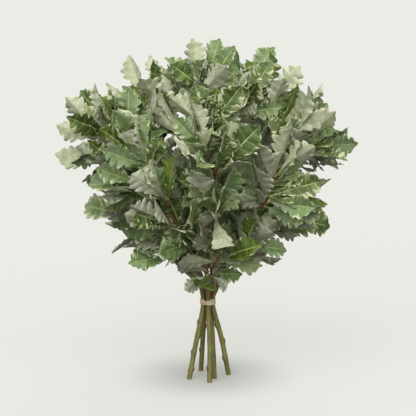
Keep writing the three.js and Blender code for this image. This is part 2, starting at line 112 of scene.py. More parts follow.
# The midrib's thickness in millimetres, at shares of the way from foot to tip.
RIB_SHARES = (0.0, 0.05, 0.1, 0.16, 0.24, 0.34, 0.46, 0.58, 0.7, 0.82, 0.93)
RIB_RADII = (1.0, 0.85, 0.8, 0.72, 0.62, 0.54, 0.46, 0.38, 0.3, 0.22, 0.1)
RIB_SIDES = 6

# Lesser leaves in the gaps of a shoot, by where in the bunch it grows, and upright ones
# on each main stem.
SMALL_LEAVES = {"front": 6, "inner": 16, "back": 9}
SHORTEST_LEAF = 40 * MM
STEM_LEAVES = 38
STEM_LEAF_HEIGHTS = (0.165, 0.46)
STEM_LEAF_LENGTHS = (75, 105)
STEM_LEAF_HALF = 24 * MM

# A twig starts inside its stem and tapers, a little thicker where each leaf grows.
TWIG_ROOT = 5.5 * MM
TWIG_STEP = 4 * MM
TWIG_SIDES = 8
TWIG_RADII = (1.75, 1.05)
TWIG_SWELLING = 1.2
TWIG_THICKEST = 2.3

BARK_STEP = 2.5 * MM
BARK_SIDES = 18
# A ring that is this much thicker than its neighbours is a node of the stem.
KNOT_RATIO = 1.08
KNOT_REACH = 14 * MM
KNOT_LENGTH = 4.5 * MM
SCAR_LENGTH = 4.2 * MM
BUDS_BELOW = 0.16
# The bud's radii in millimetres, at shares of its length.
BUD_SHARES = (0, 0.3, 0.55, 0.8, 1)
BUD_RADII = (1.0, 1.35, 1.15, 0.65, 0.1)

BAND_TURNS = 3
BAND_SAMPLES = 72
BAND_SIDES = 12
# Share of a turn over which the band steps to its next level.
BAND_STEP = 0.24

FLOOR_SIZE = 150.0
# The glass's glow is dimmed within this distance of the bunch's axis: a painted contact shadow
# round its feet.
PAINTED_SHADOW_REACH = 0.19
SENSOR = 36
# The view is this wide at the bunch's axis, and its middle is this high.
VIEW_WIDTH = 748.8 * MM
VIEW_MIDDLE = 0.3096


# ---- Small helpers ---------------------------------------------------------------


def linear(hex_colour):
    """An sRGB hex colour as linear RGBA."""
    parts = [int(hex_colour[i:i + 2], 16) / 255 for i in (1, 3, 5)]
    return tuple(
        p / 12.92 if p <= 0.04045 else ((p + 0.055) / 1.055) ** 2.4 for p in parts
    ) + (1.0,)


def lerp(a, b, share):
    return a + (b - a) * share


def smooth(share):
    share = min(1.0, max(0.0, share))
    return share * share * (3 - 2 * share)


def across(vector, axis):
    """The unit part of vector that is square to axis."""
    return (vector - axis * vector.dot(axis)).normalized()


def node(tree, kind, links=(), out=0, **settings):
    """Adds a node and gives one of its outputs.

    The kind is what follows "ShaderNode" in its type. Settings are its properties, and
    links are its inputs: numbers, hex colours or other nodes' outputs.
    """
    made = tree.nodes.new("ShaderNode" + kind)
    for name, value in settings.items():
        setattr(made, name, value)
    for socket, value in dict(links).items():
        if isinstance(value, bpy.types.NodeSocket):
            tree.links.new(value, made.inputs[socket])
        else:
            value = linear(value) if isinstance(value, str) else value
            made.inputs[socket].default_value = value
    return made.outputs[out] if len(made.outputs) else None


def coats(tree, colour, *layers):
    """Lays colours over one another, each as far as its mask has climbed from low to high.

    A layer is its mask, low, high, the most that it covers, and its colour.
    """
    for mask, low, high, most, over in layers:
        links = {0: mask, 1: low, 2: high, 4: most}
        share = node(tree, "MapRange", links, interpolation_type="SMOOTHSTEP")
        colour = node(tree, "Mix", {0: share, 6: colour, 7: over}, 2, data_type="RGBA")
    return colour


def new_material(name, *grains):
    """A material, its tree, its Object coordinates and its patterns.

    A grain is how many of its features go to a metre, its detail, its roughness and, if
    it is drawn out along the part, its scale on each axis.
    """
    material = bpy.data.materials.new(name)
    material.use_nodes = True
    tree = material.node_tree
    tree.nodes.clear()
    place = node(tree, "TexCoord", out="Object")
    patterns = []
    for per_metre, detail, roughness, *scale in grains:
        where = place
        if scale:
            where = node(tree, "Mapping", {"Vector": place, "Scale": scale[0]})
        links = {
            "Vector": where, "Scale": per_metre, "Detail": detail, "Roughness": roughness,
        }
        patterns.append(node(tree, "TexNoise", links))
    return (material, tree, place, *patterns)


def surface(tree, colour, roughness, height, depth_mm, strength, **constants):
    """A principled surface with a fine relief; constants are set on its own sockets."""
    relief = {"Height": height, "Distance": depth_mm * MM, "Strength": strength}
    links = {
        "Base Color": colour, "Roughness": roughness, "Normal": node(tree, "Bump", relief),
    }
    links.update({name.replace("_", " "): value for name, value in constants.items()})
    shader = node(tree, "BsdfPrincipled", links)
    node(tree, "OutputMaterial", {"Surface": shader})


def finish_object(bm, name, materials, smooth_faces=True):
    """Turns a bmesh into a piece at the origin that carries the given materials."""
    for face in bm.faces:
        face.smooth = smooth_faces
    mesh = bpy.data.meshes.new(name)
    bm.to_mesh(mesh)
    bm.free()
    for material in materials:
        mesh.materials.append(material)
    piece = bpy.data.objects.new(name, mesh)
    bpy.context.scene.collection.objects.link(piece)
    return piece


# ---- Reading the frame -----------------------------------------------------------


def merged(name):
    """A CAD node's mesh with its loose triangles joined, in a bmesh of its own."""
    bm = bmesh.new()
    bm.from_mesh(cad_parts[name].data)
    bmesh.ops.remove_doubles(bm, verts=bm.verts, dist=MERGE)
    return bm


def layers(start, most):
    """Rings of corners round a corner, one edge further out each time."""
    seen = {start}
    ring = [start]
    found = []
    while len(found) < most:
        further = {}
        for corner in ring:
            for edge in corner.link_edges:
                other = edge.other_vert(corner)
                if other not in seen:
                    further[other] = True
        ring = list(further)
        if not ring:
            break
        seen.update(ring)
        found.append(ring)
    return found


def middle(corners):
    return sum((corner.co for corner in corners), Vector()) / len(corners)


def joined(a, b):
    return any(edge.other_vert(a) is b for edge in a.link_edges)


def widest_pair(ring):
    return max(
        itertools.combinations(ring, 2), key=lambda pair: (pair[0].co - pair[1].co).length
    )


def read_leaf(tip, rings):
    """A leaf's midrib, sides and top directions, read from its solid's rings."""
    rings = list(reversed(rings))
    left, right = widest_pair(rings[0])
    centre = (left.co + right.co) / 2
    top, under = sorted(
        (corner for corner in rings[0] if corner not in (left, right)),
        key=lambda corner: (corner.co - centre).length,
    )
    side = (top.co - under.co).cross(middle(rings[1]) - centre)
    if (left.co - centre).dot(side) < 0:
        left, right = right, left
    stations = []
    for share, ring in zip(STATIONS, rings):
        if stations:
            pair = widest_pair(ring)
            left, right = sorted(pair, key=lambda corner: not joined(corner, left))
            top, under = sorted(
                (corner for corner in ring if corner not in pair),
                key=lambda corner: not joined(corner, top),
            )
        rib = top.co.lerp(under.co, RIB_SHARE)
        stations.append({
            "t": share,
            "rib": rib,
            "top": (top.co - under.co).normalized(),
            "left": left.co - rib,
            "right": right.co - rib,
        })
    half = (stations[3]["left"].length + stations[3]["right"].length) / 2
    for station in stations:
        station["left"] = station["left"].normalized()
        station["right"] = station["right"].normalized()
    stations[0]["left"] = stations[1]["left"]
    stations[0]["right"] = stations[1]["right"]
    tip = tip.co.copy()
    first, centre = stations[0]["rib"], stations[2]["rib"]
    foot = (first - centre * FOOT_FROM_MIDDLE + tip * FOOT_FROM_TIP) / FOOT_WEIGHT
    control = centre * 2 - (foot + tip) / 2
    return {"foot": foot, "control": control, "tip": tip, "half": half, "stations": stations}


def read_shoot(name):
    """The leaves of a shoot and the route of its twig.

    A leaf is found by its tip, a corner with rings of four round it, and the twig by the
    middle of its flat end, a corner with five edges.
    """
    bm = merged(name)
    leaves = []
    for corner in bm.verts:
        if len(corner.link_edges) == 4:
            rings = layers(corner, len(STATIONS))
            if len(rings) == len(STATIONS) and all(len(ring) == 4 for ring in rings):
                leaves.append(read_leaf(corner, rings))
    ends = [corner for corner in bm.verts if len(corner.link_edges) == 5]
    if not leaves or not ends:
        raise RuntimeError(f"{name} has no leaves or no twig end")
    # A corner in the middle of a flat face has a shell factor of 1.
    base = min(ends, key=lambda end: abs(end.calc_shell_factor() - 1) + flatness(end))
    start = base.co.copy()
    second = middle(layers(base, 2)[1])
    bm.free()
    feet = sorted((leaf["foot"] for leaf in leaves), key=lambda foot: (foot - start).length)
    route = [start]
    if feet and (feet[-1] - start).length > (second - start).length * 1.2:
        route.append(second)
    for foot in feet:
        if (foot - start).length > (route[-1] - start).length + 3 * MM:
            route.append(foot)
    leaves.sort(key=lambda leaf: tuple(round(value, 4) for value in leaf["tip"]))
    return {"leaves": leaves, "route": route}


def flatness(corner):
    """How far a corner's neighbours are from a flat pentagon about it, in millimetres."""
    ring = [edge.other_vert(corner) for edge in corner.link_edges]
    spread = [(other.co - corner.co).length / MM for other in ring]
    return abs((middle(ring) - corner.co).length / MM) + max(spread) - min(spread)


def read_stem(name):
    """The centres and radii of a stem's rings, from its cut end up."""
    bm = merged(name)
    foot = min((corner for corner in bm.verts if abs(corner.co.z) < 0.1 * MM), key=flatness)
    rings = [ring for ring in layers(foot, MOST_RINGS) if len(ring) == STEM_SIDES]
    if len(rings) < 2:
        raise RuntimeError(f"{name} has no rings")
    centres = [middle(ring) for ring in rings]
    radii = [
        sum((corner.co - centre).length for corner in ring) / len(ring)
        for ring, centre in zip(rings, centres)
    ]
    bm.free()
    return centres, radii


# ---- Making tubes ----------------------------------------------------------------


def smooth_route(points, step):
    """Points about a step apart on a smooth curve through the given points."""
    ends = [points[0] * 2 - points[1]] + list(points) + [points[-1] * 2 - points[-2]]
    route = []
    for p0, p1, p2, p3 in zip(ends, ends[1:], ends[2:], ends[3:]):
        count = max(1, round((p2 - p1).length / step))
        for i in range(count):
            t = i / count
            route.append(
                (p1 * 2 + (p2 - p0) * t + (p0 * 2 - p1 * 5 + p2 * 4 - p3) * t * t
                 + (p1 * 3 - p0 - p2 * 3 + p3) * t ** 3) / 2
            )
    route.append(points[-1].copy())
    return route


def tangents(points, closed=False):
    count = len(points)
    made = []
    for i in range(count):
        before = points[i - 1] if i or closed else points[i]
        after = points[(i + 1) % count] if i < count - 1 or closed else points[i]
        made.append((after - before).normalized())
    return made


def tube(bm, points, radii, sides, first=UP, shape=None, firsts=None):
    """A closed tube along points; first is the way its seam faces, shape bends its section."""
    points = [points[0]] + list(points) + [points[-1]]
    radii = [0.0] + list(radii) + [0.0]
    axes = tangents(points[1:-1])
    axes = [axes[0]] + axes + [axes[-1]]
    made = bmesh.ops.create_grid(
        bm, x_segments=sides, y_segments=len(points) - 1, size=1.0, calc_uvs=True
    )["verts"]
    frames = []
    for i, axis in enumerate(axes):
        wanted = firsts[min(max(i - 1, 0), len(firsts) - 1)] if firsts else first
        first = across(wanted, axis)
        frames.append((first, axis.cross(first)))
    for corner in made:
        row = round((corner.co.y + 1) / 2 * (len(points) - 1))
        angle = (corner.co.x + 1) * math.pi
        one, two = frames[row]
        wide, high = shape(angle) if shape else (math.cos(angle), math.sin(angle))
        corner.co = points[row] + (one * wide + two * high) * radii[row]
    faces = list({face for corner in made for face in corner.link_faces})
    bmesh.ops.remove_doubles(bm, verts=made, dist=0.5 * MERGE)
    return [face for face in faces if face.is_valid]


# ---- Leaf blades -----------------------------------------------------------------


def rib_point(leaf, t):
    return (
        leaf["foot"] * (1 - t) ** 2 + leaf["control"] * 2 * t * (1 - t) + leaf["tip"] * t * t
    )


def station_vector(leaf, t, key):
    """A direction of the leaf at a share of its midrib, turned evenly between stations."""
    stations = leaf["stations"]
    if t <= stations[0]["t"]:
        return stations[0][key]
    for low, high in zip(stations, stations[1:]):
        if t <= high["t"]:
            share = (t - low["t"]) / (high["t"] - low["t"])
            return low[key].lerp(high[key], share).normalized()
    return stations[-1][key]


def leaf_habit(leaf, name):
    """The chance traits of one leaf, the same on every run."""
    tip = leaf["tip"]
    chance = random.Random(f"{name} {tip.x:.3f} {tip.y:.3f} {tip.z:.3f}")
    bright = chance.random() < BRIGHT_SHARE
    habit = {
        "tone": chance.random(),
        "bright": float(bright),
        "cream": chance.random() * (BRIGHT_CREAM if bright else 1.0),
    }
    for trait, (low, high) in TRAITS.items():
        habit[trait] = chance.uniform(low, high)
    habit["lobes"] = [
        [chance.uniform(*LOBE_SPREAD) for _ in range(int(LOBES) + 1)] for _ in range(2)
    ]
    return habit


def outline(s):
    """The blade's half width at a share of its length."""
    for (low, at_low), (high, at_high) in zip(OUTLINE, OUTLINE[1:]):
        if s <= high:
            return lerp(at_low, at_high, (s - low) / (high - low))
    return 0.0


def small_leaf(shoot, chance):
    """A lesser leaf that fills a gap between two of the shoot's own, or None."""
    one, other = chance.sample(shoot["leaves"], 2)
    route = shoot["route"]
    at = chance.uniform(0.3, 1.0) * (len(route) - 1)
    low = min(int(at), len(route) - 2)
    foot = route[low].lerp(route[low + 1], at - low)
    tip = foot.lerp((one["tip"] + other["tip"]) / 2, chance.uniform(0.6, 0.95))
    if (tip - foot).length < SHORTEST_LEAF:
        return None
    return plain_leaf(foot, tip, (one["half"] + other["half"]) * 0.55, chance)


def stem_leaf(centres, chance):
    """A leaf that stands up beside a main stem, deep in the bunch."""
    low, high = STEM_LEAF_HEIGHTS
    wanted = chance.uniform(low, high)
    foot = min(centres, key=lambda centre: abs(centre.z - wanted)).copy()
    out = Vector((foot.x, foot.y, 0)).normalized()
    way = UP + out * 0.35 + Vector([chance.gauss(0, 0.32) for _ in range(3)])
    tip = foot + way.normalized() * chance.uniform(*STEM_LEAF_LENGTHS) * MM
    return plain_leaf(foot, tip, STEM_LEAF_HALF, chance)


def plain_leaf(foot, tip, half, chance):
    """A leaf between two points, with its upper side turned more or less outward."""
    axis = (tip - foot).normalized()
    length = (tip - foot).length
    facing = Vector((foot.x, foot.y, 0.1)).normalized()
    facing += Vector([chance.gauss(0, 0.6) for _ in range(3)])
    top = across(facing, axis)
    side = top.cross(axis)
    fold = chance.uniform(0.1, 0.7)
    bend = top * length * chance.uniform(-0.1, 0.12)
    station = {
        "top": top,
        "left": side * math.cos(fold) + top * math.sin(fold),
        "right": top * math.sin(fold) - side * math.cos(fold),
    }
    return {
        "foot": foot,
        "control": (foot + tip) / 2 + bend,
        "tip": tip,
        "half": min(length * 0.3, half),
        "stations": [{**station, "t": share} for share in STATIONS],
    }


def blade_point(leaf, habit, s, v):
    """A point of the blade: s runs from stalk to tip, v from the left margin to the right."""
    side = 0 if v < 0 else 1
    key = ("left", "right")[side]
    out = abs(v)
    row = round(s * ROWS)
    notch = NOTCH[row % len(NOTCH)]
    jitter = habit["lobes"][side][row // len(NOTCH)]
    full = outline(s)
    depth = habit["depth"] * jitter
    half = leaf["half"] * full * (BLADE_WIDTH - depth * notch)
    length = (leaf["tip"] - leaf["foot"]).length
    # The side veins lean towards the tip, and less so the nearer they are to it.
    t = BLADE_FROM + (1 - BLADE_FROM) * s
    t += habit["slant"] * out * half / length * (1 - 0.85 * s * s)
    t = min(t, 1.0)
    swing = 2 * math.pi * habit["waves"] * s + habit["wave_phase"] + 2 * side
    wave = habit["wave"] * math.sin(swing)
    lift = out * out * (wave + habit["cup"]) + habit["ripple"] * out ** 3 * (notch - 0.5)
    # The blade is quilted between the side veins, most of all half way out.
    quilt = QUILT_HEIGHT * out * (1 - out) * 4 * (notch - 0.5) * full
    lift = lift * leaf["half"] * full + rib_curl(leaf, habit, s) + quilt
    return (
        rib_point(leaf, t)
        + station_vector(leaf, t, key) * (half * out)
        + station_vector(leaf, t, "top") * lift
    )


def rib_curl(leaf, habit, s):
    """How far the blade's end curls off the midrib's plain curve."""
    return habit["curl"] * (leaf["tip"] - leaf["foot"]).length * 0.25 * s ** 3


def add_blade(bm, leaf, habit, marks, columns=ACROSS, rows=ROWS):
    """Adds a blade: a grid drawn out over the midrib, with its traits on its faces."""
    made = bmesh.ops.create_grid(
        bm, x_segments=len(columns) - 1, y_segments=rows, size=1.0, calc_uvs=True
    )["verts"]
    faces = {face for corner in made for face in corner.link_faces}
    for face in faces:
        for key, layer in marks.items():
            face[layer] = habit[key]
    for corner in made:
        column = round((corner.co.x + 1) / 2 * (len(columns) - 1))
        row = round((corner.co.y + 1) / 2 * rows)
        corner.co = blade_point(leaf, habit, row / rows, columns[column])


def add_rib(bm, leaf, habit):
    """Adds the stalk and midrib: one tapering tube, mostly on the leaf's under side."""
    points, tops = [], []
    for t, radius in zip(RIB_SHARES, RIB_RADII):
        s = max(0.0, (t - BLADE_FROM) / (1 - BLADE_FROM))
        top = station_vector(leaf, t, "top")
        sink = smooth((t - 0.06) / 0.12) * (0.45 * radius + 0.1) * MM
        points.append(rib_point(leaf, t) + top * (rib_curl(leaf, habit, s) - sink))
        tops.append(top)
    radii = [radius * MM for radius in RIB_RADII]
    for face in tube(bm, points, radii, RIB_SIDES, firsts=tops):
        face.material_index = 1


def leaf_meshes():
    """Empty meshes for blades and wood, and the layers that hold each blade's marks."""
    blades, wood = bmesh.new(), bmesh.new()
    for bm in (blades, wood):
        bm.loops.layers.uv.verify()
    marks = {key: blades.faces.layers.float.new(f"leaf_{key}") for key in BLADE_MARKS}
    return blades, wood, marks


def add_leaf(meshes, leaf, name, columns=ACROSS, rows=ROWS):
    """Adds a leaf of the named shoot or stem: its blade, and its stalk with the midrib."""
    blades, wood, marks = meshes
    habit = leaf_habit(leaf, name)
    add_blade(blades, leaf, habit, marks, columns, rows)
    add_rib(wood, leaf, habit)


def thicken(leafage):
    """Gives blades their thickness, with the under side's material below."""
    thickness = leafage.modifiers.new("leaf_thickness", "SOLIDIFY")
    thickness.thickness = BLADE_THICKNESS
    thickness.offset = -1
    thickness.material_offset = 1


# ---- Shoots and stems --------------------------------------------------------------


def make_stem_leaves(name, materials):
    """Builds the leaves that a main stem bears itself."""
    centres, _ = read_stem(name)
    meshes = leaf_meshes()
    chance = random.Random(name)
    for _ in range(STEM_LEAVES):
        add_leaf(meshes, stem_leaf(centres, chance), name, ACROSS_SMALL, ROWS // 2)
    leafage = finish_object(meshes[0], f"{name}_leaves", materials[:2])
    thicken(leafage)
    stalks = finish_object(meshes[1], f"{name}_stalks", materials[2:])
    for piece in (leafage, stalks):
        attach(piece, "root")
        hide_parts(name)


def make_shoot(name, materials):
    """Builds a shoot's two pieces: its blades, and its twig with the stalks and midribs."""
    shoot = read_shoot(name)
    meshes = leaf_meshes()
    for leaf in shoot["leaves"]:
        add_leaf(meshes, leaf, name)
    chance = random.Random(name)
    for _ in range(SMALL_LEAVES[name.split("_")[0]]):
        leaf = small_leaf(shoot, chance)
        if leaf:
            add_leaf(meshes, leaf, name, ACROSS_SMALL, ROWS // 2)
    route = shoot["route"]
    lead = (route[1] - route[0]).normalized()
    points = smooth_route([route[0] - lead * TWIG_ROOT] + route, TWIG_STEP)
    count = len(points)
    radii = [lerp(*TWIG_RADII, i / (count - 1)) for i in range(count)]
    for leaf in shoot["leaves"]:
        near = min(range(count), key=lambda i: (points[i] - leaf["foot"]).length)
        radii[near] *= TWIG_SWELLING
    radii = [min(radius, TWIG_THICKEST) * MM for radius in radii]
    tube(meshes[1], points, radii, TWIG_SIDES, first=across(FRONT, lead))
    leafage = finish_object(meshes[0], f"{name}_leaves", materials[:2])
    thicken(leafage)
    twig = finish_object(meshes[1], f"{name}_twig", materials[2:])
    for piece in (leafage, twig):
        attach(piece, "root")
        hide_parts(name)


def make_stem(name, bark, bud_length):
    """A stem's bark along the centres of its solid, knobbly at each node."""
    centres, radii = read_stem(name)
    chance = random.Random(name)
    knots = [
        i for i in range(1, len(radii) - 1)
        if radii[i] > KNOT_RATIO * (radii[i - 1] + radii[i + 1]) / 2
    ]
    widest = max(radius for i, radius in enumerate(radii) if i not in knots)
    points = smooth_route(centres, BARK_STEP)
    widths = []
    for point in points:
        near = sorted(range(len(centres)), key=lambda i: (centres[i] - point).length)[:2]
        widths.append(min(widest, *(radii[i] for i in near)))
    bm = bmesh.new()
    bm.loops.layers.uv.verify()
    first = across(FRONT, (points[1] - points[0]).normalized())
    tube(bm, points, widths, BARK_SIDES, first=first)
    scar = bm.verts.layers.float.new("scar")
    # Buds and scars alternate from one side of a shoot to the other.
    turn = 1 if name == "stem_left" else -1
    axes = tangents(points)
    for knot in (centres[i] for i in knots):
        near = min(range(len(points)), key=lambda i: (points[i] - knot).length)
        axis = axes[near]
        way = across(Vector((turn, chance.uniform(-0.75, 0.1), 0)), axis)
        turn = -turn
        spot = knot + way * widths[near]
        swell_knot(bm, knot, spot, axis, way, scar)
        if knot.z < BUDS_BELOW:
            add_bud(bm, spot, way, axis, bud_length, scar)
    for corner in bm.verts:
        if corner.co.z < 0:
            corner.co.z = 0
    bmesh.ops.recalc_face_normals(bm, faces=bm.faces)
    piece = finish_object(bm, f"{name}_bark", [bark])
    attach(piece, "root")
    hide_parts(name)


def swell_knot(bm, knot, spot, axis, way, scar):
    """Swells the bark at a node, most under the bud, and marks the leaf scar round spot."""
    for corner in bm.verts:
        away = corner.co - knot
        rise = away.dot(axis)
        off = away - axis * rise
        if abs(rise) > KNOT_REACH or off.length < 0.2 * MM:
            continue
        facing = max(0.0, off.normalized().dot(way))
        swell = math.exp(-((rise / KNOT_LENGTH) ** 2))
        corner.co += off.normalized() * (0.3 + 1.5 * facing ** 3) * swell * MM
        mark = math.exp(-(((corner.co - spot).length / SCAR_LENGTH) ** 2))
        corner[scar] = max(corner[scar], mark)


def add_bud(bm, spot, way, axis, length, scar):
    """A small pointed bud that leans up and out from its node."""
    lean = (way * 0.55 + axis * 0.85).normalized()
    points = [spot - lean * 0.8 * MM + lean * length * share for share in BUD_SHARES]
    before = set(bm.verts)
    tube(bm, points, [radius * MM for radius in BUD_RADII], 8, first=way)
    for corner in set(bm.verts) - before:
        corner[scar] = 1.0


# ---- Rubber band -------------------------------------------------------------------


def band_route(width):
    """The middle line of the band's turns round the stems, and the way out at each point."""
    low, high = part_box(BAND_NODE)
    centre_z = (low[2] + high[2]) / 2
    stems = []
    for name in STEM_NODES:
        centres, radii = read_stem(name)
        i = min(range(len(centres)), key=lambda i: abs(centres[i].z - centre_z))
        stems.append((centres[i], radii[i]))
    hub = sum((centre for centre, _ in stems), Vector()) / len(stems)
    half_step = BAND_STEP / 2
    points, firsts = [], []
    for i in range(BAND_TURNS * BAND_SAMPLES + 1):
        share = i / BAND_SAMPLES
        angle = 2 * math.pi * share - math.pi / 2
        normal = Vector((math.cos(angle), math.sin(angle), 0))
        reach = max((centre - hub).dot(normal) + radius for centre, radius in stems)
        # Each turn lies flat, and climbs to the next one's level as it passes the front.
        turn = min(BAND_TURNS - 1, int(share + 0.5))
        cross = smooth((share - turn + half_step) / BAND_STEP) if turn else 1.0
        level = lerp(turn - 1, turn, cross) - (BAND_TURNS - 1) / 2
        if share > BAND_TURNS - half_step:
            level = lerp(level, -1, smooth((share - BAND_TURNS + half_step) / half_step))
        if share < half_step:
            level = lerp(-1, level, smooth(share / half_step))
        proud = 0.5 * MM * abs(math.cos(math.pi * cross)) if turn else 0.5 * MM
        point = hub + normal * (reach + 1.0 * MM + (0.6 * MM - proud))
        point.z = centre_z + level * width * 1.02
        points.append(point)
        firsts.append(normal)
    return points, firsts


def strand_section(angle):
    """The strand's section: a flat oblong with rounded corners."""
    wide, high = math.cos(angle), math.sin(angle)
    return (
        0.42 * math.copysign(abs(wide) ** 0.6, wide),
        math.copysign(abs(high) ** 0.6, high),
    )


# ---- Materials -------------------------------------------------------------------


def leaf_patterns(tree, place):
    """What both sides of a leaf share: where a point lies on it, and its own marks.

    Gives how far out from the midrib it is, how far from the nearest side vein, streaks
    that are drawn out along the side veins, and the leaf's tone, brightness and cream.
    """
    uv = node(tree, "UVMap")
    out, off_vein, _ = node(tree, "SeparateXYZ", {0: uv}).node.outputs
    for operation, value in (("SUBTRACT", 0.5), ("ABSOLUTE", 0.0), ("MULTIPLY", 2.0)):
        out = node(tree, "Math", {0: out, 1: value}, operation=operation)
    for operation, value in (
        ("MULTIPLY", LOBES), ("FRACT", 0.0), ("SUBTRACT", 0.5), ("ABSOLUTE", 0.0),
    ):
        off_vein = node(tree, "Math", {0: off_vein, 1: value}, operation=operation)
    rows = node(tree, "Mapping", {"Vector": uv, "Scale": (2.0, 13.0, 1.0)})
    # The place is added so that no two leaves have the same streaks.
    apart = node(tree, "Mapping", {"Vector": place, "Scale": (9.0, 9.0, 9.0)})
    where = node(tree, "VectorMath", {0: rows, 1: apart}, operation="ADD")
    streak = node(
        tree, "TexNoise", {"Vector": where, "Scale": 1.0, "Detail": 3.0, "Roughness": 0.6}
    )
    marks = [
        node(tree, "Attribute", out="Fac", attribute_name=f"leaf_{mark}")
        for mark in BLADE_MARKS
    ]
    return (out, off_vein, streak, *marks)


def finish_leaf(tree, colour, fine, off_vein, speckle, relief, roughness, depth, **constants):
    """A leaf's surface, with its fine mottle and the relief of that and of its veins.

    Speckle is where the mottle climbs from and to, and how dark and light it is. Relief
    is the height of the mottle and of the side veins.
    """
    low, high, dark, light = speckle
    links = {0: fine, 1: low, 2: high, 3: dark, 4: light}
    mottle = node(tree, "MapRange", links, interpolation_type="SMOOTHSTEP")
    links = {0: 1.0, 6: colour, 7: mottle}
    colour = node(tree, "Mix", links, 2, data_type="RGBA", blend_type="MULTIPLY")
    links = {0: off_vein, 1: 0.12, 2: 0.02, 4: relief[1]}
    veins = node(tree, "MapRange", links, interpolation_type="SMOOTHSTEP")
    height = node(tree, "Math", {0: fine, 1: relief[0], 2: veins}, operation="MULTIPLY_ADD")
    surface(tree, colour, roughness, height, *depth, **constants)


def leaf_top_material(props):
    """Oak leaf, upper side: a waxy skin, grey-green, with cream at margins and veins."""
    # Blotches about 18 mm across, and a mottle of 2.4 mm, coarser than a real leaf's.
    material, tree, place, broad, fine = new_material(
        "oak_leaf_waxy_upper_side", (55.0, 2.0, 0.55), (420.0, 3.0, 0.65)
    )
    out, off_vein, streak, tone, bright, cream = leaf_patterns(tree, place)
    variegation = streak
    for source, weight in ((out, 0.34), (cream, 0.16), (broad, 0.2)):
        links = {0: source, 1: weight, 2: variegation}
        variegation = node(tree, "Math", links, operation="MULTIPLY_ADD")
    lit = coats(tree, props.bright_green, (broad, 0.35, 0.7, 1.0, props.lime_green))
    colour = coats(
        tree, props.deep_green,
        (tone, 0.15, 0.85, 1.0, props.grey_green),
        (broad, 0.42, 0.66, 1.0, props.mid_green),
        (bright, 0.0, 1.0, 1.0, lit),
        (variegation, 0.94, 1.08, 0.8, props.cream),
        (off_vein, 0.12, 0.02, 0.22, props.pale_vein),
        (out, 0.10, 0.03, 1.0, props.pale_vein),
    )
    roughness = node(tree, "Math", {0: fine, 1: 0.2, 2: 0.42}, operation="MULTIPLY_ADD")
    finish_leaf(
        tree, colour, fine, off_vein, (0.35, 0.75, 0.80, 1.15), (0.5, -0.6),
        roughness, (0.35, 0.7), Specular_IOR_Level=0.35,
    )
    return material


def leaf_under_material(props):
    """Oak leaf, under side: a silver-grey felt of fine hairs, with the veins proud."""
    # Patches of painted shade about 14 mm across, and the felt's hairs in tufts of 1.7 mm.
    material, tree, place, broad, fine = new_material(
        "oak_leaf_felted_under_side", (70.0, 3.0, 0.55), (600.0, 3.0, 0.7)
    )
    out, off_vein, streak, tone, bright, cream = leaf_patterns(tree, place)
    variegation = streak
    for source, weight in ((out, 0.4), (cream, 0.1)):
        links = {0: source, 1: weight, 2: variegation}
        variegation = node(tree, "Math", links, operation="MULTIPLY_ADD")
    # The felt is rubbed away in specks, more of them towards the margin.
    worn = node(tree, "Math", {0: out, 1: 0.5}, operation="MULTIPLY")
    worn = node(tree, "Math", {0: fine, 1: 0.7, 2: worn}, operation="MULTIPLY_ADD")
    links = {0: tone, 6: props.silver, 7: props.green_silver}
    felt = node(tree, "Mix", links, 2, data_type="RGBA")
    colour = coats(
        tree, felt,
        # Painted shade: a darker, shaded silver laid over the felt in random patches.
        (broad, 0.4, 0.68, 1.0, props.shaded_silver_paint),
        (bright, 0.0, 1.0, 0.6, props.lime_green),
        (variegation, 0.86, 1.0, 0.6, props.cream),
        (worn, 0.8, 0.98, 0.45, props.mid_green),
        (off_vein, 0.12, 0.02, 0.3, props.felt_vein),
        (out, 0.09, 0.02, 0.6, props.tan_stalk),
    )
    finish_leaf(
        tree, colour, fine, off_vein, (0.3, 0.75, 0.86, 1.1), (0.4, 0.6), 0.85, (0.3, 0.6),
        Sheen_Weight=0.1, Sheen_Roughness=0.6, Specular_IOR_Level=0.2,
    )
    return material


def twig_material(props):
    """Young oak wood: smooth, tight bark, red-brown where the sun has caught it."""
    # Blotches 25 mm across, and breathing pores about 1 mm across.
    material, tree, _, broad, fine = new_material(
        "young_oak_twig_bark", (40.0, 3.0, 0.55), (900.0, 3.0, 0.55)
    )
    colour = coats(
        tree, props.twig_red,
        (broad, 0.35, 0.62, 1.0, props.twig_brown),
        (fine, 0.55, 0.7, 0.4, props.tan_stalk),
    )
    surface(tree, colour, 0.6, fine, 0.2, 0.6, IOR=1.45)
    return material


def rib_material(props):
    """Leaf stalks and midribs: pale yellow-green above, tan below, red at the foot."""
    # A grain of 2 mm.
    material, tree, _, fine = new_material("oak_leaf_stalk_and_midrib", (500.0, 2.0, 0.55))
    off_seam, along, _ = node(
        tree, "SeparateXYZ", {0: node(tree, "UVMap")}
    ).node.outputs
    for operation, value in (("SUBTRACT", 0.5), ("ABSOLUTE", 0.0)):
        off_seam = node(tree, "Math", {0: off_seam, 1: value}, operation=operation)
    colour = coats(
        tree, props.tan_stalk,
        (along, 0.25, 0.75, 1.0, props.felt_vein),
        (off_seam, 0.24, 0.32, 1.0, props.pale_vein),
        (along, 0.12, 0.0, 0.7, props.twig_red),
    )
    surface(tree, colour, 0.6, fine, 0.15, 0.5, IOR=1.45)
    return material


